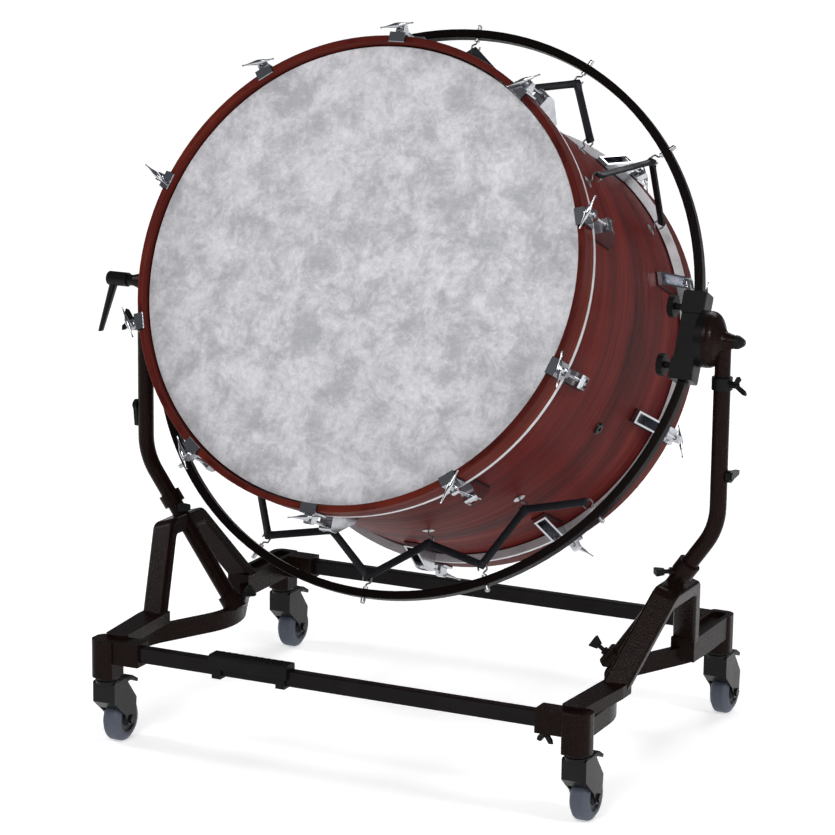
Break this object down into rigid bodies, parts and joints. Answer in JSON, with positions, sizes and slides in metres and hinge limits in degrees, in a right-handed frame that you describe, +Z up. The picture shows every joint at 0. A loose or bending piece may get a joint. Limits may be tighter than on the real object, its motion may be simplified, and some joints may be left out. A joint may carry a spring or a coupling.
{
  "type": "bass drum",
  "caption": "Concert bass drum hung by rubber straps in a steel ring, tilting between two height-adjustable posts on a rolling stand with braked swivel casters and a foot rest.",
  "frame": {"origin": "on the floor, straight below the middle of the tilt axis", "axes": "+Z up, -Y towards the player's side that the front head faces, +X towards the post without the tilt lock lever"},
  "size_m": [1.3067, 0.9228, 1.332],
  "materials": {
    "shell_wood": "satin red-brown stain, grain round the shell",
    "hoop_wood": "satin dark red-brown stain",
    "head_film": "matte film with mottled grey fibres",
    "aluminium": "satin",
    "chrome": "polished plating",
    "steel": "satin",
    "hook_wire": "blackened satin wire",
    "black_rubber": "matte",
    "strap_rubber": "matte, slightly worn",
    "ring_paint": "black-brown hammered paint",
    "hammertone": "bronze-brown hammered paint",
    "black_metal": "satin black",
    "black_paint": "semi-gloss black",
    "black_plastic": "moulded, fine grain",
    "fork_black": "gloss black",
    "grey_tyre": "soft grey rubber",
    "hub_plastic": "moulded dark grey"
  },
  "bodies": {
    "stand": {"left_base_frame": "hammertone", "right_base_frame": "hammertone", "front_crossbar": "black_paint", "back_crossbar": "black_paint", "foot_rest": "black_plastic", "lower_posts": "hammertone", "post_clamps": "hammertone", "post_collars": "black_metal"},
    "left_head": {"left_pivot_post": "hammertone"},
    "right_head": {"right_pivot_post": "hammertone"},
    "cradle": {"shell": "shell_wood", "air_vent": "black_metal", "front_head": "head_film", "back_head": "head_film", "front_counterhoop": "hoop_wood", "back_counterhoop": "hoop_wood", "flesh_hoops": "aluminium", "claws": "chrome", "claw_pads": "black_rubber", "tension_rods": "chrome", "lugs": "chrome", "lug_gaskets": "black_rubber", "strap_hooks": "hook_wire", "hook_fasteners": "steel", "suspension_straps": "strap_rubber", "suspension_ring": "ring_paint", "ring_clamps": "black_metal", "pivot_plates": "black_metal", "axle_cap": "black_plastic"},
    "tilt_lock_lever": {"tilt_lock_lever": "black_metal"},
    "left_upper_ring_knob": {"left_upper_ring_knob": "black_plastic"},
    "left_upper_t_knob": {"left_upper_t_knob": "black_plastic"},
    "left_lower_ring_knob": {"left_lower_ring_knob": "black_plastic"},
    "left_lower_t_knob": {"left_lower_t_knob": "black_plastic"},
    "left_wing_screw": {"left_wing_screw": "black_metal"},
    "left_height_lever": {"left_height_lever": "black_metal"},
    "right_upper_ring_knob": {"right_upper_ring_knob": "black_plastic"},
    "right_upper_t_knob": {"right_upper_t_knob": "black_plastic"},
    "right_lower_ring_knob": {"right_lower_ring_knob": "black_plastic"},
    "right_lower_t_knob": {"right_lower_t_knob": "black_plastic"},
    "right_wing_screw": {"right_wing_screw": "black_metal"},
    "right_height_lever": {"right_height_lever": "black_metal"},
    "front_bar_wing_bolt": {"front_bar_wing_bolt": "black_plastic"},
    "back_bar_wing_bolt": {"back_bar_wing_bolt": "black_plastic"},
    "front_left_caster_fork": {"front_left_caster_fork": "fork_black"},
    "front_left_wheel": {"front_left_tyre": "grey_tyre", "front_left_hub": "hub_plastic"},
    "front_left_brake_pedal": {"front_left_brake_pedal": "black_plastic"},
    "front_right_caster_fork": {"front_right_caster_fork": "fork_black"},
    "front_right_wheel": {"front_right_tyre": "grey_tyre", "front_right_hub": "hub_plastic"},
    "front_right_brake_pedal": {"front_right_brake_pedal": "black_plastic"},
    "back_left_caster_fork": {"back_left_caster_fork": "fork_black"},
    "back_left_wheel": {"back_left_tyre": "grey_tyre", "back_left_hub": "hub_plastic"},
    "back_left_brake_pedal": {"back_left_brake_pedal": "black_plastic"},
    "back_right_caster_fork": {"back_right_caster_fork": "fork_black"},
    "back_right_wheel": {"back_right_tyre": "grey_tyre", "back_right_hub": "hub_plastic"},
    "back_right_brake_pedal": {"back_right_brake_pedal": "black_plastic"}
  },
  "joints": [
    {"name": "left_height", "type": "slide", "parent": "stand", "child": "left_head", "axis": [0, 0, 1], "range_m": [0, 0.15]},
    {"name": "right_height", "type": "slide", "parent": "stand", "child": "right_head", "axis": [0, 0, 1], "range_m": [0, 0.15]},
    {"name": "drum_tilt", "type": "hinge", "parent": "left_head", "child": "cradle", "pos_m": [0, 0, 0.8], "axis": [1, 0, 0], "range_deg": [-67.2, 112.8]},
    {"name": "tilt_lock", "type": "hinge", "parent": "left_head", "child": "tilt_lock_lever", "pos_m": [-0.62, 0, 0.8], "axis": [-1, 0, 0], "range_deg": [-120, 0]},
    {"name": "left_upper_ring_knob_turn", "type": "hinge", "parent": "cradle", "child": "left_upper_ring_knob", "pos_m": [-0.4977, 0.02257, 0.84796], "axis": [1, 0, 0], "range_deg": [0, 720]},
    {"name": "left_upper_t_knob_turn", "type": "hinge", "parent": "stand", "child": "left_upper_t_knob", "pos_m": [-0.49856, -0.0156, 0.379], "axis": [0.8, -0.6, 0], "range_deg": [0, 720]},
    {"name": "left_lower_ring_knob_turn", "type": "hinge", "parent": "cradle", "child": "left_lower_ring_knob", "pos_m": [-0.4977, -0.02257, 0.75204], "axis": [1, 0, 0], "range_deg": [0, 720]},
    {"name": "left_lower_t_knob_turn", "type": "hinge", "parent": "stand", "child": "left_lower_t_knob", "pos_m": [-0.37063, 0, 0.21191], "axis": [0.8192, 0, 0.5736], "range_deg": [0, 720]},
    {"name": "left_wing_screw_turn", "type": "hinge", "parent": "stand", "child": "left_wing_screw", "pos_m": [-0.6025, -0.00478, 0.725], "axis": [-0.9781, -0.2079, 0], "range_deg": [0, 720]},
    {"name": "left_height_lever_turn", "type": "hinge", "parent": "stand", "child": "left_height_lever", "pos_m": [-0.5953, 0, 0.56], "axis": [-1, 0, 0], "range_deg": [-90, 0]},
    {"name": "right_upper_ring_knob_turn", "type": "hinge", "parent": "cradle", "child": "right_upper_ring_knob", "pos_m": [0.4977, 0.02257, 0.84796], "axis": [-1, 0, 0], "range_deg": [0, 720]},
    {"name": "right_upper_t_knob_turn", "type": "hinge", "parent": "stand", "child": "right_upper_t_knob", "pos_m": [0.49856, -0.0156, 0.379], "axis": [-0.8, -0.6, 0], "range_deg": [0, 720]},
    {"name": "right_lower_ring_knob_turn", "type": "hinge", "parent": "cradle", "child": "right_lower_ring_knob", "pos_m": [0.4977, -0.02257, 0.75204], "axis": [-1, 0, 0], "range_deg": [0, 720]},
    {"name": "right_lower_t_knob_turn", "type": "hinge", "parent": "stand", "child": "right_lower_t_knob", "pos_m": [0.37063, 0, 0.21191], "axis": [-0.8192, 0, 0.5736], "range_deg": [0, 720]},
    {"name": "right_wing_screw_turn", "type": "hinge", "parent": "stand", "child": "right_wing_screw", "pos_m": [0.6025, -0.00478, 0.725], "axis": [0.9781, -0.2079, 0], "range_deg": [0, 720]},
    {"name": "right_height_lever_turn", "type": "hinge", "parent": "stand", "child": "right_height_lever", "pos_m": [0.5953, 0, 0.56], "axis": [1, 0, 0], "range_deg": [0, 90]},
    {"name": "front_bar_wing_bolt_turn", "type": "hinge", "parent": "stand", "child": "front_bar_wing_bolt", "pos_m": [0.405, -0.339, 0.163], "axis": [0, 0, -1], "range_deg": [0, 720]},
    {"name": "back_bar_wing_bolt_turn", "type": "hinge", "parent": "stand", "child": "back_bar_wing_bolt", "pos_m": [0.405, 0.339, 0.163], "axis": [0, 0, -1], "range_deg": [0, 720]},
    {"name": "front_left_swivel", "type": "hinge", "parent": "stand", "child": "front_left_caster_fork", "pos_m": [-0.465, -0.339, 0.13], "axis": [0, 0, 1], "continuous": true},
    {"name": "front_left_roll", "type": "hinge", "parent": "front_left_caster_fork", "child": "front_left_wheel", "pos_m": [-0.465, -0.294, 0.042], "axis": [1, 0, 0], "continuous": true},
    {"name": "front_left_brake", "type": "hinge", "parent": "front_left_caster_fork", "child": "front_left_brake_pedal", "pos_m": [-0.465, -0.315, 0.116], "axis": [-1, 0, 0], "range_deg": [0, 12]},
    {"name": "front_right_swivel", "type": "hinge", "parent": "stand", "child": "front_right_caster_fork", "pos_m": [0.465, -0.339, 0.13], "axis": [0, 0, 1], "continuous": true},
    {"name": "front_right_roll", "type": "hinge", "parent": "front_right_caster_fork", "child": "front_right_wheel", "pos_m": [0.465, -0.294, 0.042], "axis": [1, 0, 0], "continuous": true},
    {"name": "front_right_brake", "type": "hinge", "parent": "front_right_caster_fork", "child": "front_right_brake_pedal", "pos_m": [0.465, -0.315, 0.116], "axis": [-1, 0, 0], "range_deg": [0, 12]},
    {"name": "back_left_swivel", "type": "hinge", "parent": "stand", "child": "back_left_caster_fork", "pos_m": [-0.465, 0.339, 0.13], "axis": [0, 0, 1], "continuous": true},
    {"name": "back_left_roll", "type": "hinge", "parent": "back_left_caster_fork", "child": "back_left_wheel", "pos_m": [-0.465, 0.384, 0.042], "axis": [1, 0, 0], "continuous": true},
    {"name": "back_left_brake", "type": "hinge", "parent": "back_left_caster_fork", "child": "back_left_brake_pedal", "pos_m": [-0.465, 0.363, 0.116], "axis": [-1, 0, 0], "range_deg": [0, 12]},
    {"name": "back_right_swivel", "type": "hinge", "parent": "stand", "child": "back_right_caster_fork", "pos_m": [0.465, 0.339, 0.13], "axis": [0, 0, 1], "continuous": true},
    {"name": "back_right_roll", "type": "hinge", "parent": "back_right_caster_fork", "child": "back_right_wheel", "pos_m": [0.465, 0.384, 0.042], "axis": [1, 0, 0], "continuous": true},
    {"name": "back_right_brake", "type": "hinge", "parent": "back_right_caster_fork", "child": "back_right_brake_pedal", "pos_m": [0.465, 0.363, 0.116], "axis": [-1, 0, 0], "range_deg": [0, 12]}
  ],
  "couplings": [
    {"joint": "right_height", "follows": "left_height", "ratio": 1}
  ]
}
